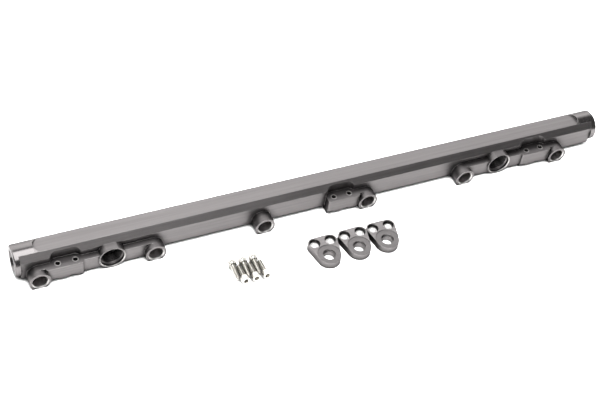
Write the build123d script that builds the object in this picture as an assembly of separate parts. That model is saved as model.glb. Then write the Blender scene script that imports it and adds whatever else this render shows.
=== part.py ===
# Fuel rail for an in-line six-cylinder engine, with its three brackets and six cap screws.
# Frame: +X runs along the rail from the first injector to the sixth, +Z is up,
# and the injector mouths look towards -Y. z = 0 is the plane that everything rests on,
# y = 0 is the flat front face of the bar, x = 0 is the axis of the first injector bore.
import math
import os

from build123d import *

os.makedirs("parts", exist_ok=True)

# Rail, along its length
injector_pitch = 110.0
injector_count = 6
first_overhang = 19.5
last_overhang = 51.8
first_collar_length = 5.0
last_collar_length = 6.5

# Bar section
gallery_y = 13.2
gallery_z = 17.0
bar_radius = 15.25
end_chamfer = 1.0
top_flat_z = 29.9
top_flat_margin = 19.4
top_flat_run_out_radius = 8.2
facet_back_y = 5.3
facet_front_z = 24.4
base_back_y = 21.3
base_chamfer = 5.0
base_chamfer_back = 4.2

# Gallery and its end ports
gallery_bore_radius = 8.0
end_port_radius = 8.75
end_port_depth = 18.0
end_port_mouth_radius = 10.3
end_port_mouth_depth = 2.6

# Injector bosses
boss_radius = 10.0
boss_axis_z = 8.5
boss_foot_first_side = 8.2
boss_foot_last_side = 6.6
boss_foot_corner_radius = 1.8
boss_projection = 12.0
boss_root_y = 8.0
injector_bore_radius = 7.0
injector_bore_depth = 13.5
injector_lead_in = 1.0
injector_feed_radius = 3.5

# Pads that carry the brackets
pad_offset = 26.8
pad_screw_spacing = 16.5
pad_end_radius = 7.0
pad_projection = 9.0
pad_top_z = 18.5
pad_screw_y = -3.2
pad_corner_radius = 2.0
pad_thread_radius = 2.1
relief_radius = 3.2
relief_height = 4.6
relief_offset = 4.0

# Webs between bosses, pads and side ports
web_projection = 6.5
low_chamfer = 3.2

# Side ports in the front of the rail
side_port_offset = 69.0
side_port_boss_radius = 13.0
side_port_axis_z = 13.0
side_port_projection = 8.0
side_port_bridge_z = 24.9
side_port_mouth_radius = 12.1
side_port_counterbore_radius = 11.4
side_port_counterbore_depth = 3.2
side_port_thread_radius = 10.3
side_port_cone_depth = 1.1
side_port_depth = 15.5

# Brackets
bracket_thickness = 8.0
bracket_clearance = 0.3
bracket_ear_radius = pad_end_radius - bracket_clearance
bracket_nose_radius = 11.5
bracket_nose_distance = 16.5
bracket_nose_drop = 0.5
bracket_screw_hole_radius = 3.4
bracket_counterbore_radius = 5.4
bracket_counterbore_depth = 3.6
bracket_stud_hole_radius = 5.2
bracket_stud_counterbore_radius = 6.3
bracket_stud_counterbore_depth = 2.4
bracket_places = ((266.0, -45.0, 1.0), (298.1, -44.3, 0.5), (328.5, -44.5, -1.0))

# Cap screws, M5 x 16
screw_radius = 2.5
screw_length = 16.0
screw_head_radius = 4.25
screw_head_height = 5.0
screw_socket_across_flats = 4.0
screw_socket_depth = 2.6
screw_count = 6
screw_row_x = 174.3
screw_row_gap = 0.35
screw_end_gap = 0.6
screw_far_y = -39.0

# Positions that follow from the sizes above
first_end_x = -first_overhang
last_end_x = (injector_count - 1) * injector_pitch + last_overhang
injector_xs = [n * injector_pitch for n in range(injector_count)]
last_injector_x = injector_xs[-1]
pad_centres = (
    injector_xs[0] + pad_offset,
    injector_xs[3] - pad_offset,
    injector_xs[5] - pad_offset,
)
side_port_xs = (side_port_offset, last_injector_x - side_port_offset)
pad_half_width = pad_screw_spacing / 2 + pad_end_radius


def along_x(radius, x0, x1):
    """Cylinder about the gallery axis between two stations."""
    plane = Plane(origin=(x0, gallery_y, gallery_z), x_dir=(0, 1, 0), z_dir=(1, 0, 0))
    return extrude(plane * Circle(radius), x1 - x0)


def cone_x(radius0, radius1, x0, x1):
    """Frustum about the gallery axis between two stations."""
    plane0 = Plane(origin=(x0, gallery_y, gallery_z), x_dir=(0, 1, 0), z_dir=(1, 0, 0))
    plane1 = Plane(origin=(x1, gallery_y, gallery_z), x_dir=(0, 1, 0), z_dir=(1, 0, 0))
    return loft([plane0 * Circle(radius0), plane1 * Circle(radius1)])


def along_y(radius, x, z, y0, y1):
    """Cylinder square to the front face, from y0 back to y1."""
    plane = Plane(origin=(x, y0, z), x_dir=(1, 0, 0), z_dir=(0, 1, 0))
    return extrude(plane * Circle(radius), y1 - y0)


def cone_y(radius0, radius1, x, z, y0, y1):
    """Frustum square to the front face."""
    plane0 = Plane(origin=(x, y0, z), x_dir=(1, 0, 0), z_dir=(0, 1, 0))
    plane1 = Plane(origin=(x, y1, z), x_dir=(1, 0, 0), z_dir=(0, 1, 0))
    return loft([plane0 * Circle(radius0), plane1 * Circle(radius1)])


def upright(radius, x, y, z0, z1):
    """Vertical cylinder."""
    return extrude(Plane(origin=(x, y, z0)) * Circle(radius), z1 - z0)


def block(x0, x1, y0, y1, z0, z1):
    """Box given by its limits."""
    centre = ((x0 + x1) / 2, (y0 + y1) / 2, (z0 + z1) / 2)
    return Pos(*centre) * Box(x1 - x0, y1 - y0, z1 - z0)


def prism_x(points, x0, x1):
    """Prism along X over a section given as (y, z) points."""
    plane = Plane(origin=(x0, 0, 0), x_dir=(0, 1, 0), z_dir=(1, 0, 0))
    return extrude(plane * make_face(Polyline(*points, close=True)), x1 - x0)


def bar():
    """Round bar with a flat base, a flat front, a facet and a flat top, run out before the ends."""
    inner0 = first_end_x + first_collar_length
    inner1 = last_end_x - last_collar_length
    rim0 = first_end_x + end_chamfer
    rim1 = last_end_x - end_chamfer
    small = bar_radius - end_chamfer
    body = along_x(bar_radius, rim0, rim1)
    body = body + cone_x(small, bar_radius, first_end_x, rim0)
    body = body + cone_x(bar_radius, small, rim1, last_end_x)
    base = prism_x(
        (
            (base_chamfer, 0),
            (base_back_y - base_chamfer_back, 0),
            (base_back_y, base_chamfer_back),
            (base_back_y, gallery_z),
            (0, gallery_z),
            (0, base_chamfer),
        ),
        inner0,
        inner1,
    )
    above = top_flat_z + bar_radius
    front = prism_x(
        (
            (0, 0),
            (0, facet_front_z),
            (facet_back_y, top_flat_z),
            (facet_back_y, above),
            (-bar_radius, above),
            (-bar_radius, 0),
        ),
        inner0,
        inner1,
    )
    body = body + base - front
    run_out0 = first_end_x + top_flat_margin + top_flat_run_out_radius
    run_out1 = last_end_x - top_flat_margin - top_flat_run_out_radius
    y0 = gallery_y - top_flat_run_out_radius
    y1 = gallery_y + top_flat_run_out_radius
    body = body - block(run_out0, run_out1, y0, y1, top_flat_z, above)
    for x in (run_out0, run_out1):
        body = body - upright(top_flat_run_out_radius, x, gallery_y, top_flat_z, above)
    return body


def ledge(x0, x1, projection):
    """Low flat-topped land in front of the bar, chamfered under its front edge."""
    points = (
        (-projection + low_chamfer, 0),
        (base_chamfer, 0),
        (base_chamfer, pad_top_z),
        (-projection, pad_top_z),
        (-projection, low_chamfer),
    )
    return prism_x(points, x0, x1)


def injector_boss(x):
    """Round boss with a foot that stands on the base plane, wider towards the first end."""
    mouth = -boss_projection
    body = along_y(boss_radius, x, boss_axis_z, mouth, boss_root_y)
    side0 = x - boss_foot_first_side
    side1 = x + boss_foot_last_side
    foot = block(side0, side1, mouth, boss_root_y, 0, boss_axis_z)
    corner = foot.edges().filter_by(Axis.Y).group_by(Axis.Z)[0].sort_by(Axis.X)[0]
    body = body + fillet(corner, boss_foot_corner_radius)
    return body - block(x - boss_radius, x + boss_radius, mouth, boss_root_y, -boss_radius, 0)


def injector_bore(x):
    """Stepped bore from the mouth of a boss to the gallery."""
    mouth = -boss_projection
    floor = mouth + injector_bore_depth
    tool = along_y(injector_bore_radius, x, boss_axis_z, mouth, floor)
    wide = injector_bore_radius + injector_lead_in
    lead = cone_y(wide, injector_bore_radius, x, boss_axis_z, mouth, mouth + injector_lead_in)
    feed = along_y(injector_feed_radius, x, boss_axis_z, floor, gallery_y)
    return tool + lead + feed


def side_port_boss(x):
    """Round boss of a side port, cut flat on top where it meets the bar."""
    mouth = -side_port_projection
    radius = side_port_boss_radius
    body = along_y(radius, x, side_port_axis_z, mouth, base_chamfer)
    return body - block(x - radius, x + radius, mouth, base_chamfer, side_port_bridge_z, 2 * bar_radius)


def side_port_bore(x):
    """Mouth, counterbore, cone and thread bore of a side port."""
    mouth = -side_port_projection
    lip = side_port_mouth_radius - side_port_counterbore_radius
    step = mouth + side_port_counterbore_depth
    neck = step + side_port_cone_depth
    wide = side_port_counterbore_radius
    tool = cone_y(side_port_mouth_radius, wide, x, side_port_axis_z, mouth, mouth + lip)
    tool = tool + along_y(wide, x, side_port_axis_z, mouth + lip, step)
    tool = tool + cone_y(wide, side_port_thread_radius, x, side_port_axis_z, step, neck)
    floor = mouth + side_port_depth
    return tool + along_y(side_port_thread_radius, x, side_port_axis_z, neck, floor)


def pad_xs(centre):
    """Stations of the two screws of a pad."""
    return (centre - pad_screw_spacing / 2, centre + pad_screw_spacing / 2)


def pad(x0, x1):
    """Pad with rounded front corners."""
    body = ledge(x0, x1, pad_projection)
    uprights = body.edges().filter_by(Axis.Z).group_by(Axis.Y)[0]
    return fillet(uprights, pad_corner_radius)


def pad_pocket(centre):
    """Upright pocket above a pad, with the outline of a bracket's two ears."""
    x0, x1 = pad_xs(centre)
    above = top_flat_z + bar_radius
    tool = block(x0, x1, -bar_radius, pad_screw_y + pad_end_radius, pad_top_z, above)
    for x in (x0, x1):
        tool = tool + upright(pad_end_radius, x, pad_screw_y, pad_top_z, above)
    side0 = centre - pad_half_width
    side1 = centre + pad_half_width
    return tool + block(side0, side1, -bar_radius, pad_screw_y, pad_top_z, above)


def pad_screw_holes(centre):
    """Two tapped holes through a pad, and the reliefs under its front edge."""
    tools = []
    for x in pad_xs(centre):
        tools.append(upright(pad_thread_radius, x, pad_screw_y, 0, pad_top_z))
        tools.append(upright(relief_radius, x - relief_offset, -pad_projection, 0, relief_height))
    return tools


def gallery_bore():
    """Bore along the whole rail with a port at each end."""
    tool = along_x(gallery_bore_radius, first_end_x, last_end_x)
    for end, sense in ((first_end_x, 1), (last_end_x, -1)):
        inner = end + sense * end_port_depth
        tool = tool + along_x(end_port_radius, min(end, inner), max(end, inner))
        mouth = end + sense * end_port_mouth_depth
        tool = tool + cone_x(end_port_mouth_radius, end_port_radius, end, mouth)
    return tool


def rail_body():
    """The whole rail, machined as one piece."""
    body = bar()
    body = body + ledge(injector_xs[0], injector_xs[1], web_projection)
    body = body + ledge(injector_xs[4], injector_xs[5], web_projection)
    body = body + ledge(pad_centres[1], injector_xs[3], web_projection)
    pad_limits = (
        (injector_xs[0] + boss_foot_last_side, pad_centres[0] + pad_half_width),
        (pad_centres[1] - pad_half_width, injector_xs[3] - boss_foot_first_side),
        (pad_centres[2] - pad_half_width, injector_xs[5] - boss_foot_first_side),
    )
    for x0, x1 in pad_limits:
        body = body + pad(x0, x1)
    for centre in pad_centres:
        body = body - pad_pocket(centre)
    for x in injector_xs:
        body = body + injector_boss(x)
    for x in side_port_xs:
        body = body + side_port_boss(x)
    body = body - gallery_bore()
    for x in injector_xs:
        body = body - injector_bore(x)
    for x in side_port_xs:
        body = body - side_port_bore(x)
    for centre in pad_centres:
        for tool in pad_screw_holes(centre):
            body = body - tool
    return body


def bracket_blank(height):
    """Outline of a bracket: two ears and a round nose, joined by tangent flanks."""
    half = pad_screw_spacing / 2
    nose_y = -bracket_nose_distance
    reach = math.hypot(half, bracket_nose_distance)
    lean = math.atan2(half, bracket_nose_distance)
    spread = math.asin((bracket_nose_radius - bracket_ear_radius) / reach)
    across = math.cos(lean - spread)
    down = math.sin(lean - spread)
    middle = (math.pi / 2 - (lean - spread)) / 2
    ear_out = half + bracket_ear_radius * math.cos(middle)
    ear_up = bracket_ear_radius * math.sin(middle)
    ear_x = half + bracket_ear_radius * across
    ear_y = -bracket_ear_radius * down
    nose_x = bracket_nose_radius * across
    flank_y = nose_y - bracket_nose_radius * down
    tip = (0, nose_y - bracket_nose_radius)
    outline = [
        Line((-half, bracket_ear_radius), (half, bracket_ear_radius)),
        ThreePointArc((half, bracket_ear_radius), (ear_out, ear_up), (ear_x, ear_y)),
        Line((ear_x, ear_y), (nose_x, flank_y)),
        ThreePointArc((nose_x, flank_y), tip, (-nose_x, flank_y)),
        Line((-nose_x, flank_y), (-ear_x, ear_y)),
        ThreePointArc((-ear_x, ear_y), (-ear_out, ear_up), (-half, bracket_ear_radius)),
    ]
    return extrude(make_face(outline), height)


def bracket():
    """One bracket, lying on its flat side about the middle of its two screw holes."""
    body = bracket_blank(bracket_thickness)
    low = bracket_thickness - bracket_nose_drop
    nose_y = -bracket_nose_distance
    side = bracket_nose_radius + bracket_clearance
    body = body - upright(side, 0, nose_y, low, bracket_thickness)
    body = body - block(-side, side, nose_y - side, nose_y, low, bracket_thickness)
    half = pad_screw_spacing / 2
    floor = bracket_thickness - bracket_counterbore_depth
    for x in (-half, half):
        body = body - upright(bracket_counterbore_radius, x, 0, floor, bracket_thickness)
        body = body - upright(bracket_screw_hole_radius, x, 0, 0, floor)
    seat = low - bracket_stud_counterbore_depth
    body = body - upright(bracket_stud_hole_radius, 0, nose_y, 0, seat)
    return body - upright(bracket_stud_counterbore_radius, 0, nose_y, seat, low)


def cap_screw():
    """Socket head cap screw along X: the head reaches -X from the origin, the shank +X."""
    shank = Plane(origin=(0, 0, 0), x_dir=(0, 1, 0), z_dir=(1, 0, 0))
    face = Plane(origin=(-screw_head_height, 0, 0), x_dir=(0, 1, 0), z_dir=(1, 0, 0))
    body = extrude(face * Circle(screw_head_radius), screw_head_height)
    body = body + extrude(shank * Circle(screw_radius), screw_length)
    socket_radius = screw_socket_across_flats / math.sqrt(3)
    return body - extrude(face * RegularPolygon(socket_radius, 6), screw_socket_depth)


def resting_screw(index):
    """A cap screw at rest on the rim of its head and on its tip, turned every other way."""
    tilt = math.degrees(math.atan2(screw_head_radius - screw_radius, screw_length))
    height = screw_head_radius * math.cos(math.radians(tilt))
    x = screw_row_x + index * (2 * screw_radius + screw_row_gap)
    lying = Rot(0, tilt, 0) * cap_screw()
    head_y = screw_far_y - screw_head_height
    if index % 2 == 0:
        return Pos(x, head_y, height) * Rot(0, 0, -90) * lying
    return Pos(x, head_y - screw_length - screw_end_gap, height) * Rot(0, 0, 90) * lying


nodes = {"rail_body": rail_body()}
for number, (x, y, turn) in enumerate(bracket_places, start=1):
    nodes[f"mounting_bracket_{number}"] = Pos(x, y, 0) * Rot(0, 0, turn) * bracket()
for index in range(screw_count):
    nodes[f"bracket_screw_{index + 1}"] = resting_screw(index)

for name, shape in nodes.items():
    solids = shape.solids()
    whole = solids[0] if len(solids) == 1 else Compound(children=list(solids))
    export_step(whole, f"parts/{name}.step")
    print(name, len(solids), round(whole.volume, 1), whole.bounding_box())
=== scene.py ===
"""Looks of a machined fuel rail, its brackets and its cap screws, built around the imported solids."""
import math
from functools import reduce

import bpy
from bpy.props import FloatProperty, FloatVectorProperty, IntProperty, PointerProperty
from mathutils import Matrix, Vector


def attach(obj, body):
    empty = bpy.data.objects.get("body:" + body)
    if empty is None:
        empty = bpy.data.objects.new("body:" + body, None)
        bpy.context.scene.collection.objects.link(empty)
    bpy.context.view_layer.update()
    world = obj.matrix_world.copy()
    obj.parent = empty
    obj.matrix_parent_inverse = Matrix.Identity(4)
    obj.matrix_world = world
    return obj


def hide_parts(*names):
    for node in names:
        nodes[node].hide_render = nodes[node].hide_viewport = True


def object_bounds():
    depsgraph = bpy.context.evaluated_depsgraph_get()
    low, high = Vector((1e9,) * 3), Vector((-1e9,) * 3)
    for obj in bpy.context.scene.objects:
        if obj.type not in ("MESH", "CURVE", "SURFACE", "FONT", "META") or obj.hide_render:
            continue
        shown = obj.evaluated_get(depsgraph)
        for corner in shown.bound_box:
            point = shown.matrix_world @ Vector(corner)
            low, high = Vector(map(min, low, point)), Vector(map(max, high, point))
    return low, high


bl_info = {
    "name": "Fuel Rail",
    "version": (1, 0, 0),
    "blender": (4, 5, 0),
    "location": "View3D > Sidebar > Fuel Rail",
    "description": "Finishes a machined fuel rail and adds its threads, cap screws and stage",
    "category": "Object",
}

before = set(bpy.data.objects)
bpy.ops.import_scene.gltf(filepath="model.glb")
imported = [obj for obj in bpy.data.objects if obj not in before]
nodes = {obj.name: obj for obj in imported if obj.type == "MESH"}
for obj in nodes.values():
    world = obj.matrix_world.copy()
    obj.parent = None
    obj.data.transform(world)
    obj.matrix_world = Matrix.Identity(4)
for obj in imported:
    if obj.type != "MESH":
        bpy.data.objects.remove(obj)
cad_low, cad_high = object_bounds()

# The scene is in metres. Sizes and places here are in millimetres, unless a comment says otherwise
MM = 0.001
INCH = 25.4
# How far off a surface a zone of a finish still takes it in
SKIN = 0.1

# The bar, as in its solid: its ends, the stretches of its flats along X, where its facet meets its
# top flat, and its gallery's Y and Z
FIRST_END = cad_low[0] / MM
LAST_END = cad_high[0] / MM
FRONT_FLAT = (FIRST_END + 5.0, LAST_END - 6.5)
TOP_FLAT_INSET = 19.4
TOP_FLAT = (FIRST_END + TOP_FLAT_INSET, LAST_END - TOP_FLAT_INSET)
TOP_FLAT_Z = 29.9
FACET_BACK_Y = 5.3
GALLERY = (13.2, 17.0)

# The injector bores, from their mouths to their floors along Y
BORE_PITCH = 110.0
BORE_Z = 8.5
BORE_RADIUS = 7.0
BORE_SPAN = (-12.0, 1.5)

# The side ports and pads, placed from the first and last bores
LAST_BORE_X = 5 * BORE_PITCH
SIDE_PORT_OFFSET = 69.0
SIDE_PORTS = (SIDE_PORT_OFFSET, LAST_BORE_X - SIDE_PORT_OFFSET)
SIDE_PORT_Z = 13.0
PAD_OFFSET = 26.8
PAD_CENTRES = (PAD_OFFSET, 3 * BORE_PITCH - PAD_OFFSET, LAST_BORE_X - PAD_OFFSET)
PAD_TOP = 18.5
PAD_SCREW_Y = -3.2
PAD_SCREW_SPACING = 16.5

# The cones at the mouths of the bores and side ports: the mouth's Y, the cone's depth, and how its
# normals lean
MOUTH_CONES = ((-12.0, 1.0), (-8.0, 0.7))
MOUTH_LEAN = -0.7
MOUTH_LEAN_SPREAD = 0.15
# The ring of uncoated metal round a pad's tapped hole, partly a painted highlight, from radius to
# radius
PAD_RIM = (2.1, 3.1)

# The brackets, as in their solids: the middle between the ears, and the turn in degrees
BRACKET_PLACES = ((266.0, -45.0, 1.0), (298.1, -44.3, 0.5), (328.5, -44.5, -1.0))
# A bracket's holes: X and Y from the middle between its ears, and the radius that their painted light
# reaches
EAR_HOLE_REACH = 4.3
EAR_HOLES = (
    (-PAD_SCREW_SPACING / 2, 0.0, EAR_HOLE_REACH),
    (PAD_SCREW_SPACING / 2, 0.0, EAR_HOLE_REACH),
)
STUD_HOLE = ((0.0, -16.5, 6.5),)
# Heights that bound a bracket's painted light and highlight: just over the seats in its ears' holes,
# just under its nose's rim for its stud hole, and just over its nose for its ears
EAR_SEAT = 4.6
NOSE_RIM = 7.2
NOSE_TOP = 7.75

# Threads: pitch, root radius, crest radius and length, and where they start
END_THREAD = (INCH / 16, 8.77, 8.2, 14.0)
END_THREAD_INSET = 3.2
SIDE_THREAD = (INCH / 14, 10.32, 9.7, 10.6)
SIDE_THREAD_Y = -3.5
PAD_THREAD = (0.8, 2.11, 1.86, 14.0)
PAD_THREAD_INSET = 0.6
THREAD_SLEEVE = 0.3
# Shares of half a pitch that the flat at a thread's root and its flank take
ROOT_FLAT = 0.2
FLANK = 0.62

# The row of cap screws, as in their solids, where every other screw lies the other way round
SCREW_COUNT = 6
SCREW_ROW_X = 174.3
SCREW_PITCH_X = 5.35
SCREW_HEAD_Y = (-44.0, -60.6)
SCREW_LENGTH = 16.0
SCREW_RADIUS = 2.5
SCREW_ROOT = 2.05
SCREW_NECK = 1.2
SCREW_HEAD_RADIUS = 4.25
SCREW_HEAD_HEIGHT = 5.0
SCREW_HEAD_EDGE = 0.45
SOCKET_APOTHEM = 2.0
SOCKET_DEPTH = 2.6
KNURL_DEPTH = 0.09

# Grain of the finishes, in cycles per metre, along X, Y and Z where it is drawn out
BLOTCH_GRAIN = 14.0
PASS_GRAIN = (9.0, 450.0, 450.0)
MILLED_GRAIN = (55.0, 2600.0, 2600.0)
TURNED_GRAIN = (2600.0, 55.0, 55.0)
SPECK_GRAIN = 5200.0
WEAR_AND_SHEEN_GRAIN = 420.0
STEEL_BLOTCH_GRAIN = 300.0
STEEL_SCRATCH_GRAIN = (9000.0, 600.0, 9000.0)
PAPER_GRAIN = 900.0
# The range that noise seldom leaves
NOISE_RANGE = (0.3, 0.7)

# Least and most that a colour is multiplied by, and that is added to a roughness
BLOTCH_GAIN = (0.92, 1.08)
PASS_GAIN = (0.93, 1.07)
PAPER_GAIN = (0.98, 1.0)
BLOTCH_ROUGHNESS = (-0.03, 0.03)
MARK_ROUGHNESS = (-0.04, 0.04)
SCRATCH_ROUGHNESS = (-0.04, 0.05)
# What the colour of a whole piece or of one place is multiplied by, where the threads take painted
# shade and the stud holes painted light, and the pale metal colour of the ears' holes, partly a painted
# highlight
BRACKET_GAIN = 1.12
PAINTED_THREAD_SHADE = 0.35
PAINTED_STUD_HOLE_LIGHT = 1.2
DULL_STEEL_GAIN = 0.86
BARE_AND_LIT_ALUMINIUM = (0.85, 0.84, 0.83)
# How far the edge colour shows, as wear and as a painted highlight: least and most along the edges, and
# on the pads' rims
EDGE_WEAR_AND_SHEEN = (0.5, 1.0)
RIM_WEAR_AND_SHEEN = 0.6
# Heights of the marks, in metres, and how strongly the steel shows them
MARK_HEIGHT = 0.00002
SPECK_HEIGHT = 0.00001
STEEL_GRAIN = 0.4

# Samples of the edges and recesses, and the cosines at which an edge begins to take the edge colour, as
# wear and as a painted highlight, and takes it fully
SHADER_SAMPLES = 8
EDGE_COSINES = (0.995, 0.80)
# Open shares of the sky at which a recess's painted shade begins and is at its deepest
PIECE_OPENNESS = (0.85, 0.45)
FLOOR_OPENNESS = (0.55, 0.2)

# The stage, in metres: the floor just under the pieces, and soft lights that shine straight down
FLOOR_HALF = 6.0
FLOOR_LEVEL = -0.0001
FLOOR_LIGHT_PLACE = (0.7, -0.15, 1.8)
FLOOR_LIGHT_SIZE = (2.4, 2.0)
TOP_LIGHT_PLACE = (-0.05, -0.45, 1.5)
TOP_LIGHT_SIZE = (1.15, 1.75)

# The fitted camera: its place in metres, and its right, up and backward directions as columns
CAMERA_PLACE = (-0.16549, -0.74751, 0.94362)
CAMERA_TURN = (
    (0.91547, 0.21937, -0.33733),
    (-0.38762, 0.70582, -0.59294),
    (0.10802, 0.67357, 0.73119),
)
CAMERA_LENS = 78.0
SENSOR_WIDTH = 36.0
CAMERA_CLIP = (0.01, 50.0)


def link(obj):
    """Adds an object to the scene's collection."""
    bpy.context.scene.collection.objects.link(obj)
    return obj


def mesh_object(name, vertices, faces, material, smooth_angle=math.radians(32)):
    """A mesh object from points in metres, shaded smooth between shallow faces."""
    mesh = bpy.data.meshes.new(name)
    mesh.from_pydata([tuple(v) for v in vertices], [], [tuple(f) for f in faces])
    mesh.validate()
    mesh.materials.append(material)
    obj = link(bpy.data.objects.new(name, mesh))
    mesh.shade_smooth()
    mesh.set_sharp_from_angle(angle=smooth_angle)
    return obj


def paint(obj, material):
    """Gives an object one material."""
    obj.data.materials.clear()
    obj.data.materials.append(material)
    for polygon in obj.data.polygons:
        polygon.material_index = 0


class NodeBench:
    """Short calls for building one material's nodes. A value is an output, or a plain number."""

    # The mix node's two colour inputs and its colour output, by number
    MIX_COLOURS = (6, 7)
    MIX_RESULT = 2

    def __init__(self, name):
        self.material = bpy.data.materials.new(name)
        self.material.use_nodes = True
        self.tree = self.material.node_tree
        self.shader = self.tree.nodes["Principled BSDF"]

    def add(self, kind):
        """A new node of a kind."""
        return self.tree.nodes.new(kind)

    def join(self, source, target):
        """A link from an output to an input."""
        self.tree.links.new(source, target)

    def math(self, operation, first, second=None):
        """A maths node on one or two values, giving its output."""
        node = self.add("ShaderNodeMath")
        node.operation = operation
        for index, value in enumerate((first, second)):
            if isinstance(value, (int, float)):
                node.inputs[index].default_value = value
            elif value is not None:
                self.join(value, node.inputs[index])
        return node.outputs[0]

    def plus(self, first, second):
        """The sum of two values."""
        return self.math("ADD", first, second)

    def minus(self, first, second):
        """The difference of two values."""
        return self.math("SUBTRACT", first, second)

    def times(self, first, second):
        """The product of two values."""
        return self.math("MULTIPLY", first, second)

    def most(self, *values):
        """The largest of some values."""
        return reduce(lambda first, second: self.math("MAXIMUM", first, second), values)

    def least(self, *values):
        """The smallest of some values."""
        return reduce(lambda first, second: self.math("MINIMUM", first, second), values)

    def under(self, length, level):
        """One where a length is under a level in millimetres."""
        return self.math("LESS_THAN", length, level * MM)

    def over(self, length, level):
        """One where a length is over a level in millimetres."""
        return self.math("GREATER_THAN", length, level * MM)

    def between(self, length, low, high):
        """One where a length is between two levels in millimetres."""
        node = self.add("ShaderNodeMath")
        node.operation = "COMPARE"
        self.join(length, node.inputs[0])
        node.inputs[1].default_value = (low + high) / 2 * MM
        node.inputs[2].default_value = (high - low) / 2 * MM
        return node.outputs[0]

    def distance(self, first, second, middle):
        """How far a point lies from an axis that is square to its two coordinates."""
        across = self.minus(first, middle[0] * MM)
        along = self.minus(second, middle[1] * MM)
        return self.math("SQRT", self.plus(self.times(across, across), self.times(along, along)))

    def stretched(self, scale=(1, 1, 1)):
        """Object coordinates times a scale."""
        mapping = self.add("ShaderNodeMapping")
        mapping.inputs["Scale"].default_value = scale
        self.join(self.add("ShaderNodeTexCoord").outputs["Object"], mapping.inputs["Vector"])
        return mapping.outputs["Vector"]

    def split(self, vector):
        """The three coordinates of a vector."""
        node = self.add("ShaderNodeSeparateXYZ")
        self.join(vector, node.inputs[0])
        return node.outputs["X"], node.outputs["Y"], node.outputs["Z"]

    def noise(self, scale=1.0, stretch=(1, 1, 1), detail=3.0):
        """Noise in object space, from 0 to 1."""
        node = self.add("ShaderNodeTexNoise")
        node.inputs["Scale"].default_value = scale
        node.inputs["Detail"].default_value = detail
        node.inputs["Roughness"].default_value = 0.55
        self.join(self.stretched(stretch), node.inputs["Vector"])
        return node.outputs["Fac"]

    def spread(self, value, from_range, to_range):
        """A clamped change from one range to another."""
        node = self.add("ShaderNodeMapRange")
        sockets = ("From Min", "From Max", "To Min", "To Max")
        for key, number in zip(sockets, (*from_range, *to_range)):
            node.inputs[key].default_value = number
        self.join(value, node.inputs["Value"])
        return node.outputs["Result"]

    def gained(self, gain, zone, factor):
        """A gain, times a factor where a zone is one."""
        return self.times(gain, self.spread(zone, (0.0, 1.0), (1.0, factor)))

    def blend(self, factor, first, second):
        """A mix of two colours, which is all the second where the factor is one."""
        node = self.add("ShaderNodeMix")
        node.data_type = "RGBA"
        self.join(factor, node.inputs["Factor"])
        for index, colour in zip(self.MIX_COLOURS, (first, second)):
            if isinstance(colour, tuple):
                node.inputs[index].default_value = (*colour, 1.0)
            else:
                self.join(colour, node.inputs[index])
        return node.outputs[self.MIX_RESULT]

    def scaled(self, colour, factor):
        """A colour times a factor."""
        node = self.add("ShaderNodeVectorMath")
        node.operation = "SCALE"
        node.inputs[0].default_value = colour
        self.join(factor, node.inputs["Scale"])
        return node.outputs["Vector"]

    def bump(self, height, distance, strength, normal):
        """A normal with marks pressed into it."""
        node = self.add("ShaderNodeBump")
        node.inputs["Distance"].default_value = distance
        node.inputs["Strength"].default_value = strength
        self.join(height, node.inputs["Height"])
        self.join(normal, node.inputs["Normal"])
        return node.outputs["Normal"]

    def rounded(self, radius):
        """The surface's normal, with its edges rounded."""
        bevel = self.add("ShaderNodeBevel")
        bevel.samples = SHADER_SAMPLES
        bevel.inputs["Radius"].default_value = radius
        return bevel.outputs["Normal"]

    def edge(self, normal):
        """How far a rounded normal leaves the surface's own, from 0 on a flat to 1 on a sharp edge."""
        dot = self.add("ShaderNodeVectorMath")
        dot.operation = "DOT_PRODUCT"
        self.join(normal, dot.inputs[0])
        self.join(self.add("ShaderNodeNewGeometry").outputs["Normal"], dot.inputs[1])
        return self.spread(dot.outputs["Value"], EDGE_COSINES, (0.0, 1.0))

    def recess(self, reach, openness):
        """How far the surface lies in a recess, from 0 in the open to 1."""
        node = self.add("ShaderNodeAmbientOcclusion")
        node.samples = SHADER_SAMPLES
        node.inputs["Distance"].default_value = reach
        return self.spread(node.outputs["AO"], openness, (0.0, 1.0))


def turned_zone(bench):
    """One on the turned ends of the bar, beside its flats, and zero on all that is milled."""
    x, y, _ = bench.split(bench.stretched())
    beside_front = bench.most(bench.under(x, FRONT_FLAT[0]), bench.over(x, FRONT_FLAT[1]))
    beside_top = bench.most(bench.under(x, TOP_FLAT[0]), bench.over(x, TOP_FLAT[1]))
    return bench.most(beside_front, bench.times(beside_top, bench.over(y, FACET_BACK_Y)))


def injector_bores(bench):
    """One on the walls and floors of the injector bores."""
    x, y, z = bench.split(bench.stretched())
    off_centre = bench.math("PINGPONG", x, BORE_PITCH / 2 * MM)
    inside = bench.under(bench.distance(off_centre, z, (0.0, BORE_Z)), BORE_RADIUS + SKIN)
    return bench.times(inside, bench.between(y, BORE_SPAN[0], BORE_SPAN[1] + SKIN))


def mouth_cones(bench):
    """One on the cones at the mouths of the bores and side ports, cut after the anodising; their bright
    colour is partly a painted highlight.
    """
    _, y, _ = bench.split(bench.stretched())
    _, lean, _ = bench.split(bench.add("ShaderNodeNewGeometry").outputs["Normal"])
    off_lean = bench.math("ABSOLUTE", bench.minus(lean, MOUTH_LEAN))
    cones = bench.most(*(bench.between(y, mouth, mouth + depth) for mouth, depth in MOUTH_CONES))
    return bench.times(bench.math("LESS_THAN", off_lean, MOUTH_LEAN_SPREAD), cones)


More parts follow.
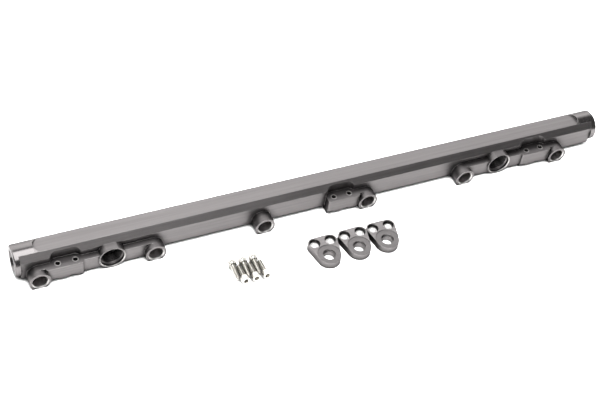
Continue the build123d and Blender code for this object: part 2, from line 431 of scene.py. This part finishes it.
def pad_rims(bench):
    """One on the rings round the pads' tapped holes, cut after the anodising; their bright colour is
    partly a painted highlight.
    """
    x, y, z = bench.split(bench.stretched())
    sides = (bench.math("ABSOLUTE", bench.minus(x, centre * MM)) for centre in PAD_CENTRES)
    away = bench.distance(bench.least(*sides), y, (PAD_SCREW_SPACING / 2, PAD_SCREW_Y))
    level = bench.between(z, PAD_TOP - SKIN, PAD_TOP + SKIN)
    return bench.times(bench.between(away, *PAD_RIM), level)


def bracket_holes(bench, place, holes, top):
    """One inside some holes of the bracket at a place, up to a height."""
    x, y, z = bench.split(bench.stretched())
    turn = Matrix.Rotation(math.radians(place[2]), 2)
    zones = []
    for across, along, radius in holes:
        middle = Vector(place[:2]) + turn @ Vector((across, along))
        zones.append(bench.under(bench.distance(x, y, middle), radius))
    return bench.times(bench.most(*zones), bench.under(z, top))


def over_level(bench, level):
    """One over a height."""
    _, _, z = bench.split(bench.stretched())
    return bench.over(z, level)


def rail_shade(bench, gain, milled, values):
    """The rail's colour, with painted light: lighter on the fly-cut top and on the walls of the
    injector bores.
    """
    # Painted light: the fly-cut top of the rail is painted lighter
    top = bench.times(over_level(bench, TOP_FLAT_Z - SKIN), milled)
    gain = bench.gained(gain, top, values.painted_top_light)
    # Painted light: the walls and floors of the injector bores are painted lighter
    gain = bench.most(gain, bench.times(injector_bores(bench), values.painted_bore_light))
    return bench.scaled(values.colour, gain)


def bracket_shade(bench, gain, place, values):
    """A bracket's colour, with painted light: lighter on the ears and in the stud hole, and pale metal
    in the screw holes, partly as a painted highlight.
    """
    # Painted light: the tops of the ears are painted lighter
    gain = bench.gained(gain, over_level(bench, NOSE_TOP), values.painted_ear_light)
    # Painted light: the stud hole is painted lighter
    stud = bracket_holes(bench, place, STUD_HOLE, NOSE_RIM)
    gain = bench.most(gain, bench.times(stud, PAINTED_STUD_HOLE_LIGHT))
    # The ears' holes are painted a pale metal colour up to their seats, partly as a painted highlight
    bare_and_lit = bracket_holes(bench, place, EAR_HOLES, EAR_SEAT)
    return bench.blend(bare_and_lit, bench.scaled(values.colour, gain), BARE_AND_LIT_ALUMINIUM)


def anodised(name, values, share=1.0, bracket=None):
    """Satin anodised aluminium with cutter marks, faint blotches, bright rubbed edges that are partly a
    painted highlight, painted shade in recesses and painted light in some places.

    The share is what the colour is multiplied by. A bracket's material has its place too.
    """
    bench = NodeBench(name)
    normal = bench.rounded(values.edge_radius)
    turned = turned_zone(bench)
    milled = bench.minus(1.0, turned)
    blotch = bench.noise(BLOTCH_GRAIN, detail=4.0)
    passes = bench.noise(stretch=PASS_GRAIN, detail=1.0)
    gain = bench.spread(blotch, (0.0, 1.0), [limit * share for limit in BLOTCH_GAIN])
    gain = bench.times(gain, bench.spread(passes, NOISE_RANGE, PASS_GAIN))
    # Painted shade: the colour is darkened in recesses and corners that the ambient occlusion finds
    gain = bench.gained(gain, bench.recess(values.recess_reach, PIECE_OPENNESS), values.recess_shade)
    if bracket is None:
        shade = rail_shade(bench, gain, milled, values)
    else:
        shade = bracket_shade(bench, gain, bracket, values)
    # The edges, the mouths' cones and the pads' rims are painted towards the edge colour, partly as
    # wear and partly as a painted highlight
    wear_and_sheen = bench.spread(bench.noise(WEAR_AND_SHEEN_GRAIN), NOISE_RANGE, EDGE_WEAR_AND_SHEEN)
    worn_and_lit = bench.times(bench.times(bench.edge(normal), wear_and_sheen), values.edge_wear_and_sheen)
    worn_and_lit = bench.most(worn_and_lit, mouth_cones(bench), bench.times(pad_rims(bench), RIM_WEAR_AND_SHEEN))
    bench.join(bench.blend(worn_and_lit, shade, tuple(values.edge_colour)), bench.shader.inputs["Base Color"])
    along = bench.noise(stretch=MILLED_GRAIN, detail=2.0)
    around = bench.noise(stretch=TURNED_GRAIN, detail=2.0)
    marks = bench.plus(bench.times(around, turned), bench.times(along, milled))
    rough = bench.plus(bench.spread(blotch, NOISE_RANGE, BLOTCH_ROUGHNESS), values.roughness)
    rough = bench.plus(rough, bench.spread(marks, NOISE_RANGE, MARK_ROUGHNESS))
    rough = bench.minus(rough, bench.times(turned, values.turned_polish))
    bench.join(rough, bench.shader.inputs["Roughness"])
    bench.shader.inputs["Metallic"].default_value = values.metallic
    bench.shader.inputs["Specular Tint"].default_value = (*[values.glancing] * 3, 1.0)
    normal = bench.bump(marks, MARK_HEIGHT, values.grain, normal)
    normal = bench.bump(bench.noise(SPECK_GRAIN, detail=1.0), SPECK_HEIGHT, values.grain, normal)
    bench.join(normal, bench.shader.inputs["Normal"])
    return bench.material


def stainless(name, values):
    """Bright stainless steel with faint drawing marks."""
    bench = NodeBench(name)
    colour = Vector(values.colour)
    shade = bench.blend(bench.noise(STEEL_BLOTCH_GRAIN), tuple(colour * DULL_STEEL_GAIN), tuple(colour))
    bench.join(shade, bench.shader.inputs["Base Color"])
    scratch = bench.noise(stretch=STEEL_SCRATCH_GRAIN, detail=2.0)
    rough = bench.plus(bench.spread(scratch, NOISE_RANGE, SCRATCH_ROUGHNESS), values.roughness)
    bench.join(rough, bench.shader.inputs["Roughness"])
    bench.shader.inputs["Metallic"].default_value = 1.0
    normal = bench.bump(scratch, SPECK_HEIGHT, STEEL_GRAIN, bench.rounded(values.edge_radius))
    bench.join(normal, bench.shader.inputs["Normal"])
    return bench.material


def floor_paper(name, values):
    """Matt white paper with a barely seen fibre, shaded close under what lies on it."""
    bench = NodeBench(name)
    gain = bench.spread(bench.noise(PAPER_GRAIN), (0.0, 1.0), PAPER_GAIN)
    gain = bench.gained(gain, bench.recess(values.shadow_reach, FLOOR_OPENNESS), values.shadow_depth)
    bench.join(bench.scaled(values.floor_colour, gain), bench.shader.inputs["Base Color"])
    bench.shader.inputs["Roughness"].default_value = 0.9
    bench.shader.inputs["Specular IOR Level"].default_value = 0.1
    return bench.material


class FuelRailFinish(bpy.types.PropertyGroup):
    """Finish of the rail and its brackets."""

    colour: FloatVectorProperty(
        name="Colour", description="Colour of the anodised surface", subtype="COLOR",
        size=3, min=0.0, max=1.0, default=(0.12, 0.1135, 0.1135))
    # Partly a painted highlight: the edges, mouth cones and pad rims are painted towards this colour
    edge_colour: FloatVectorProperty(
        name="Edge colour", description="Colour where the edges are worn", subtype="COLOR",
        size=3, min=0.0, max=1.0, default=(0.42, 0.41, 0.40))
    metallic: FloatProperty(
        name="Metallic", description="How metallic the surface is", subtype="FACTOR",
        min=0.0, max=1.0, default=0.98)
    glancing: FloatProperty(
        name="Glancing", description="Share of the reflection left at a glancing angle",
        subtype="FACTOR", min=0.0, max=1.0, default=0.4)
    roughness: FloatProperty(
        name="Roughness", description="How much the surface scatters", subtype="FACTOR",
        min=0.05, max=1.0, default=0.42)
    turned_polish: FloatProperty(
        name="Turned polish", description="How much smoother the turned ends are", subtype="FACTOR",
        min=0.0, max=0.3, default=0.2)
    edge_radius: FloatProperty(
        name="Edge radius", description="Radius that the edges are broken to", unit="LENGTH",
        min=0.0, max=0.002, default=0.00045)
    # Partly a painted highlight: how far the edges are painted towards the edge colour
    edge_wear_and_sheen: FloatProperty(
        name="Edge wear", description="How bright the worn edges are", subtype="FACTOR",
        min=0.0, max=1.0, default=0.6)
    # Painted shade in recesses: how far it reaches and how dark it gets
    recess_reach: FloatProperty(
        name="Recess reach", description="How far off a wall still darkens a surface", unit="LENGTH",
        min=0.0, max=0.05, default=0.012)
    recess_shade: FloatProperty(
        name="Recess shade", description="Share of the colour left deep in a recess",
        subtype="FACTOR", min=0.0, max=1.0, default=0.2)
    # Painted light: the next three lighten the colour on the rail's fly-cut top, in its injector bores
    # and on the brackets' ears
    painted_top_light: FloatProperty(
        name="Flat gain", description="How much lighter the fly-cut top of the rail is",
        min=0.5, max=2.0, default=1.3)
    painted_bore_light: FloatProperty(
        name="Bore gain", description="Least gain on the walls and floors of the injector bores",
        min=0.0, max=3.0, default=2.6)
    painted_ear_light: FloatProperty(
        name="Ear gain", description="How much lighter the tops of the brackets' ears are",
        min=0.5, max=2.0, default=1.4)
    grain: FloatProperty(
        name="Grain", description="Strength of the cutter marks", subtype="FACTOR",
        min=0.0, max=1.0, default=0.35)


class FuelRailSteel(bpy.types.PropertyGroup):
    """Finish and thread of the cap screws."""

    colour: FloatVectorProperty(
        name="Colour", description="Colour of the steel", subtype="COLOR",
        size=3, min=0.0, max=1.0, default=(0.5, 0.485, 0.455))
    roughness: FloatProperty(
        name="Roughness", description="How much the steel scatters", subtype="FACTOR",
        min=0.05, max=1.0, default=0.2)
    edge_radius: FloatProperty(
        name="Edge radius", description="Radius that the edges are broken to", unit="LENGTH",
        min=0.0, max=0.002, default=0.0001)
    pitch: FloatProperty(
        name="Thread pitch", description="Pitch of the screw thread", unit="LENGTH",
        min=0.0003, max=0.002, default=0.0008)
    knurls: IntProperty(
        name="Knurls", description="Ridges round a screw head", min=12, max=80, default=36)


class FuelRailStage(bpy.types.PropertyGroup):
    """Floor and light."""

    floor_colour: FloatVectorProperty(
        name="Floor colour", description="Colour of the floor", subtype="COLOR",
        size=3, min=0.0, max=1.0, default=(0.94, 0.94, 0.94))
    shadow_reach: FloatProperty(
        name="Shadow reach", description="How far over the floor a piece still shades it",
        unit="LENGTH", min=0.0, max=0.05, default=0.0055)
    shadow_depth: FloatProperty(
        name="Shadow depth", description="Share of the floor's colour left close under a piece",
        subtype="FACTOR", min=0.0, max=1.0, default=0.13)
    floor_light: FloatProperty(
        name="Floor light", description="Power of the light on the floor", unit="POWER",
        min=0.0, max=500.0, default=106.0)
    top_light: FloatProperty(
        name="Top light", description="Power of the soft box overhead", unit="POWER",
        min=0.0, max=500.0, default=44.0)
    back_sky: FloatProperty(
        name="Back sky", description="Strength of the even light from behind",
        min=0.0, max=10.0, default=3.6)
    sky_low: FloatProperty(
        name="Sky low", description="Height over the back horizon where the sky begins to dim",
        unit="ROTATION", min=0.0, max=math.pi, default=math.radians(40))
    sky_high: FloatProperty(
        name="Sky high", description="Height over the back horizon where the sky is at its dimmest",
        unit="ROTATION", min=0.0, max=math.pi, default=math.radians(72))
    front_sky: FloatProperty(
        name="Front sky", description="Strength of the even light from the front",
        min=0.0, max=5.0, default=0.2)


def plain(radius):
    """A round ring's radius at any angle."""
    return lambda angle: radius


def band(first, second, around):
    """Faces between two rings of points, given by the numbers of their first points."""
    faces = []
    for step in range(around):
        ahead = (step + 1) % around
        faces.append((first + step, first + ahead, second + ahead, second + step))
    return faces


def ringed(rings, around):
    """Points and faces of rings about the X axis, each with its station and its radius at an angle."""
    points = []
    for station, radius_at in rings:
        for step in range(around):
            angle = 2 * math.pi * step / around
            radius = radius_at(angle)
            points.append((station, radius * math.cos(angle), radius * math.sin(angle)))
    faces = []
    for number in range(len(rings) - 1):
        faces += band(number * around, (number + 1) * around, around)
    return points, faces


def thread_depth(station, angle, pitch):
    """Height of a 60 degree thread over its root, from 0 to 1, with a flat crest and root."""
    phase = (station / pitch - angle / (2 * math.pi)) % 1.0
    rise = 1.0 - abs(2.0 * phase - 1.0)
    return min(1.0, max(0.0, (rise - ROOT_FLAT) / FLANK))


def thread_ring(name, thread, material, around=72, per_pitch=10):
    """Internal thread: a closed sleeve about X whose inside carries the ridges."""
    pitch, root, crest, length = (size * MM for size in thread)
    rows = round(length / pitch * per_pitch)
    first_fade, last_fade = 0.6 * pitch, 1.2 * pitch

    def inner(station):
        """The ridged inside at a station, where the ridges fade out near both ends."""
        ease = max(0.0, min(1.0, station / first_fade, (length - station) / last_fade))
        return lambda angle: root - (root - crest) * thread_depth(station, angle, pitch) * ease

    outer = plain(root + THREAD_SLEEVE * MM)
    stations = [length * row / rows for row in range(rows, -1, -1)]
    rings = [(0.0, outer), (length, outer)] + [(station, inner(station)) for station in stations]
    points, faces = ringed(rings, around)
    faces += band((len(rings) - 1) * around, 0, around)
    return mesh_object(name, points, faces, material)


def screw_head(knurls):
    """Rings of a cap screw's head, from the bottom of its socket to its neck."""
    top, radius, edge = -SCREW_HEAD_HEIGHT * MM, SCREW_HEAD_RADIUS * MM, SCREW_HEAD_EDGE * MM
    knurl_depth, flats, shank = KNURL_DEPTH * MM, SOCKET_APOTHEM * MM, SCREW_RADIUS * MM
    socket_floor = top + SOCKET_DEPTH * MM
    drill_depth, drill_radius, socket_taper = 0.55 * MM, 0.05 * MM, 0.98
    lead_depth, lead_width = 0.25 * MM, 0.08 * MM
    knurl_end, run_out, bearing_edge = -1.0 * MM, 0.1 * MM, 0.12 * MM
    fillet_width, fillet_length = 0.25 * MM, 0.2 * MM
    sector = math.pi / 3

    def hexagon(scale):
        """The socket's six flats."""
        return lambda angle: scale * flats / math.cos((angle + sector / 2) % sector - sector / 2)

    def knurled(angle):
        """The ridges round the head."""
        return radius - knurl_depth * (0.5 - 0.5 * math.cos(knurls * angle))

    return [
        (socket_floor + drill_depth, plain(drill_radius)),
        (socket_floor, hexagon(socket_taper)),
        (top + lead_depth, hexagon(1.0)),
        (top, plain(flats / math.cos(sector / 2) + lead_width)),
        (top, plain(radius - edge)),
        (top + 0.3 * edge, plain(radius - 0.45 * edge)),
        (top + edge, plain(radius - knurl_depth)),
        (top + edge + run_out, knurled),
        (knurl_end, knurled),
        (knurl_end + run_out, plain(radius - knurl_depth)),
        (knurl_end + 1.5 * run_out, plain(radius)),
        (-bearing_edge, plain(radius)),
        (0.0, plain(radius - bearing_edge)),
        (0.0, plain(shank + fillet_width)),
        (fillet_length, plain(shank)),
    ]


def screw_thread(pitch):
    """Rings of a cap screw's rolled thread, from its neck to its tip."""
    shank, root, length = SCREW_RADIUS * MM, SCREW_ROOT * MM, SCREW_LENGTH * MM
    neck, tip_radius = SCREW_NECK * MM, root - 0.1 * MM

    def rolled(station):
        """The thread at a station, where it rises from the neck and is cut off by the tip's cone."""
        ease = min(1.0, (station - neck) / pitch)
        cone = tip_radius + (length - station)
        return lambda angle: min(
            cone, shank - (shank - root) * (1.0 - thread_depth(station, angle, pitch)) * ease)

    rows = round((length - neck) / pitch * 10)
    stations = [neck + (length - neck) * row / rows for row in range(rows + 1)]
    return [(station, rolled(station)) for station in stations]


def turned_screw(name, steel, material):
    """A cap screw along X: knurled head towards -X, rolled thread towards +X, and both ends closed."""
    around = steel.knurls * 4
    points, faces = ringed(screw_head(steel.knurls) + screw_thread(steel.pitch), around)
    faces.append(tuple(reversed(range(around))))
    faces.append(tuple(range(len(points) - around, len(points))))
    return mesh_object(name, points, faces, material)


def baked(obj, matrix):
    """Moves a piece's own points to its place, and lets it ride on the rail's body."""
    obj.data.transform(matrix)
    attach(obj, "root")
    return obj


def laid(obj, place, towards):
    """Puts a piece made along +X at a place in millimetres, pointing some other way."""
    turn = Vector((1, 0, 0)).rotation_difference(Vector(towards)).to_matrix().to_4x4()
    return baked(obj, Matrix.Translation(Vector(place) * MM) @ turn)


class FUELRAIL_OT_rail(bpy.types.Operator):
    """Give the rail its anodised finish"""

    bl_idname = "fuelrail.rail"
    bl_label = "Rail"

    def execute(self, context):
        finish = context.scene.fuel_rail_finish
        paint(nodes["rail_body"], anodised("rail_anodised_aluminium", finish))
        return {"FINISHED"}


class FUELRAIL_OT_brackets(bpy.types.Operator):
    """Give the three brackets their anodised finish"""

    bl_idname = "fuelrail.brackets"
    bl_label = "Brackets"

    def execute(self, context):
        finish = context.scene.fuel_rail_finish
        for number, place in enumerate(BRACKET_PLACES, 1):
            node = nodes[f"mounting_bracket_{number}"]
            paint(node, anodised(f"bracket_{number}_anodised_aluminium", finish, BRACKET_GAIN, place))
        return {"FINISHED"}


class FUELRAIL_OT_port_threads(bpy.types.Operator):
    """Cut the threads of the end ports and side ports"""

    bl_idname = "fuelrail.port_threads"
    bl_label = "Port threads"

    def execute(self, context):
        finish = context.scene.fuel_rail_finish
        # Painted shade: the port threads are painted darker than the rest of the rail
        material = anodised("thread_anodised_aluminium", finish, PAINTED_THREAD_SHADE)
        ends = (
            ("first", FIRST_END + END_THREAD_INSET, (1, 0, 0)),
            ("last", LAST_END - END_THREAD_INSET, (-1, 0, 0)),
        )
        for word, x, inward in ends:
            thread = thread_ring(f"{word}_end_port_thread", END_THREAD, material)
            laid(thread, (x, *GALLERY), inward)
        for number, x in enumerate(SIDE_PORTS, 1):
            thread = thread_ring(f"side_port_{number}_thread", SIDE_THREAD, material)
            laid(thread, (x, SIDE_THREAD_Y, SIDE_PORT_Z), (0, 1, 0))
        return {"FINISHED"}


class FUELRAIL_OT_pad_threads(bpy.types.Operator):
    """Cut the threads of the tapped holes in the pads"""

    bl_idname = "fuelrail.pad_threads"
    bl_label = "Pad threads"

    def execute(self, context):
        material = anodised("tapped_hole_aluminium", context.scene.fuel_rail_finish)
        for pad, centre in enumerate(PAD_CENTRES, 1):
            for side, sign in (("left", -1), ("right", 1)):
                x = centre + sign * PAD_SCREW_SPACING / 2
                thread = thread_ring(
                    f"pad_{pad}_{side}_thread", PAD_THREAD, material, around=36, per_pitch=8)
                laid(thread, (x, PAD_SCREW_Y, PAD_TOP - PAD_THREAD_INSET), (0, 0, -1))
        return {"FINISHED"}


class FUELRAIL_OT_cap_screws(bpy.types.Operator):
    """Make the six cap screws where their solids lie"""

    bl_idname = "fuelrail.cap_screws"
    bl_label = "Cap screws"

    def execute(self, context):
        steel = context.scene.fuel_rail_steel
        material = stainless("stainless_steel", steel)
        tilt = math.atan2(SCREW_HEAD_RADIUS - SCREW_RADIUS, SCREW_LENGTH)
        height = SCREW_HEAD_RADIUS * math.cos(tilt)
        for index in range(SCREW_COUNT):
            side = index % 2
            turn = Matrix.Rotation(math.radians((-90, 90)[side]), 4, "Z")
            screw = turned_screw(f"cap_screw_{index + 1}", steel, material)
            x = SCREW_ROW_X + index * SCREW_PITCH_X
            place = Matrix.Translation(Vector((x, SCREW_HEAD_Y[side], height)) * MM)
            baked(screw, place @ turn @ Matrix.Rotation(tilt, 4, "Y"))
            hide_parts(f"bracket_screw_{index + 1}")
        return {"FINISHED"}


def soft_light(name, place, size, power):
    """A rectangular soft light that shines straight down from a place."""
    data = bpy.data.lights.new(name, "AREA")
    data.shape = "RECTANGLE"
    data.size, data.size_y = size
    data.energy = power
    lamp = link(bpy.data.objects.new(name, data))
    lamp.location = place
    return lamp


def studio_sky(values):
    """A world that is bright low down behind, and dim overhead and in front."""
    world = bpy.data.worlds.new("studio")
    world.use_nodes = True
    tree = world.node_tree
    place = tree.nodes.new("ShaderNodeTexCoord")
    split = tree.nodes.new("ShaderNodeSeparateXYZ")
    tree.links.new(place.outputs["Generated"], split.inputs[0])
    angle = tree.nodes.new("ShaderNodeMath")
    angle.operation = "ARCTAN2"
    tree.links.new(split.outputs["Z"], angle.inputs[0])
    tree.links.new(split.outputs["Y"], angle.inputs[1])
    ramp = tree.nodes.new("ShaderNodeMapRange")
    ramp.interpolation_type = "SMOOTHSTEP"
    ramp.inputs["From Min"].default_value = values.sky_low
    ramp.inputs["From Max"].default_value = values.sky_high
    ramp.inputs["To Min"].default_value = values.back_sky
    ramp.inputs["To Max"].default_value = values.front_sky
    tree.links.new(angle.outputs[0], ramp.inputs["Value"])
    tree.links.new(ramp.outputs["Result"], tree.nodes["Background"].inputs["Strength"])
    tree.nodes["Background"].inputs["Color"].default_value = (1, 1, 1, 1)
    return world


def photo_camera():
    """The camera that was fitted to the photo."""
    data = bpy.data.cameras.new("photo_camera")
    data.lens = CAMERA_LENS
    data.sensor_width = SENSOR_WIDTH
    data.clip_start, data.clip_end = CAMERA_CLIP
    camera = link(bpy.data.objects.new("photo_camera", data))
    camera.matrix_world = Matrix.Translation(CAMERA_PLACE) @ Matrix(CAMERA_TURN).to_4x4()
    return camera


class FUELRAIL_OT_stage(bpy.types.Operator):
    """Set up the floor, the lights and the camera"""

    bl_idname = "fuelrail.stage"
    bl_label = "Stage"

    def execute(self, context):
        values = context.scene.fuel_rail_stage
        signs = ((-1, -1), (1, -1), (1, 1), (-1, 1))
        corners = [(x * FLOOR_HALF, y * FLOOR_HALF, FLOOR_LEVEL) for x, y in signs]
        floor = mesh_object("floor", corners, [(0, 1, 2, 3)], floor_paper("white_paper", values))
        lamp = soft_light("floor_light", FLOOR_LIGHT_PLACE, FLOOR_LIGHT_SIZE, values.floor_light)
        lamp.visible_glossy = False
        soft_light("top_light", TOP_LIGHT_PLACE, TOP_LIGHT_SIZE, values.top_light)
        context.scene.world = studio_sky(values)
        context.scene.view_settings.view_transform = "Standard"
        context.scene.camera = photo_camera()
        return {"FINISHED"}


class FUELRAIL_PT_panel(bpy.types.Panel):
    """The fuel rail's operators and values, in the sidebar"""

    bl_idname = "FUELRAIL_PT_panel"
    bl_label = "Fuel Rail"
    bl_space_type = "VIEW_3D"
    bl_region_type = "UI"
    bl_category = "Fuel Rail"

    def draw(self, context):
        for kind in OPERATORS:
            self.layout.operator(kind.bl_idname)
        for name, _ in GROUPS:
            values = getattr(context.scene, name)
            column = self.layout.column(align=True)
            for key in values.__annotations__:
                column.prop(values, key)


OPERATORS = (
    FUELRAIL_OT_rail,
    FUELRAIL_OT_brackets,
    FUELRAIL_OT_port_threads,
    FUELRAIL_OT_pad_threads,
    FUELRAIL_OT_cap_screws,
    FUELRAIL_OT_stage,
)
GROUPS = (
    ("fuel_rail_finish", FuelRailFinish),
    ("fuel_rail_steel", FuelRailSteel),
    ("fuel_rail_stage", FuelRailStage),
)


def register():
    """Adds the values, operators and panel to Blender."""
    for name, group in GROUPS:
        bpy.utils.register_class(group)
        setattr(bpy.types.Scene, name, PointerProperty(type=group))
    for kind in OPERATORS:
        bpy.utils.register_class(kind)
    bpy.utils.register_class(FUELRAIL_PT_panel)


def unregister():
    """Takes the values, operators and panel out of Blender."""
    bpy.utils.unregister_class(FUELRAIL_PT_panel)
    for kind in reversed(OPERATORS):
        bpy.utils.unregister_class(kind)
    for name, group in reversed(GROUPS):
        delattr(bpy.types.Scene, name)
        bpy.utils.unregister_class(group)


def main():
    """Makes every piece and the stage in order."""
    register()
    bpy.ops.fuelrail.rail()
    bpy.ops.fuelrail.brackets()
    bpy.ops.fuelrail.port_threads()
    bpy.ops.fuelrail.pad_threads()
    bpy.ops.fuelrail.cap_screws()
    bpy.ops.fuelrail.stage()


if __name__ == "__main__":
    main()
